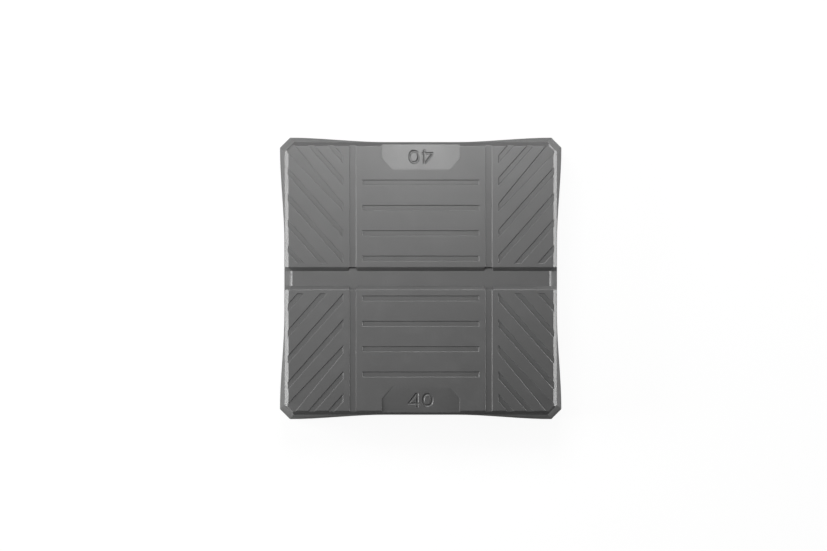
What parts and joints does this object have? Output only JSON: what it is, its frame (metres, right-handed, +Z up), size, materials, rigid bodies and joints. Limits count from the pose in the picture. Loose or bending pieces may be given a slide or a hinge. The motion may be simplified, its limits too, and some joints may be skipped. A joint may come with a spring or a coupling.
{
  "type": "rubber lift pad",
  "caption": "Square moulded rubber pad with a grooved, bevelled load face that cushions a vehicle's jacking point on a lift arm or jack.",
  "frame": {"origin": "centre of the flat underside", "axes": "+Z up out of the load face, +X along the wide groove, +Y towards one of the two number fields"},
  "size_m": [0.16, 0.16, 0.04],
  "materials": {
    "moulded_rubber": "satin dark grey moulded rubber with faint handling smudges"
  },
  "bodies": {
    "root": {"lift_pad": "moulded_rubber"}
  },
  "joints": []
}
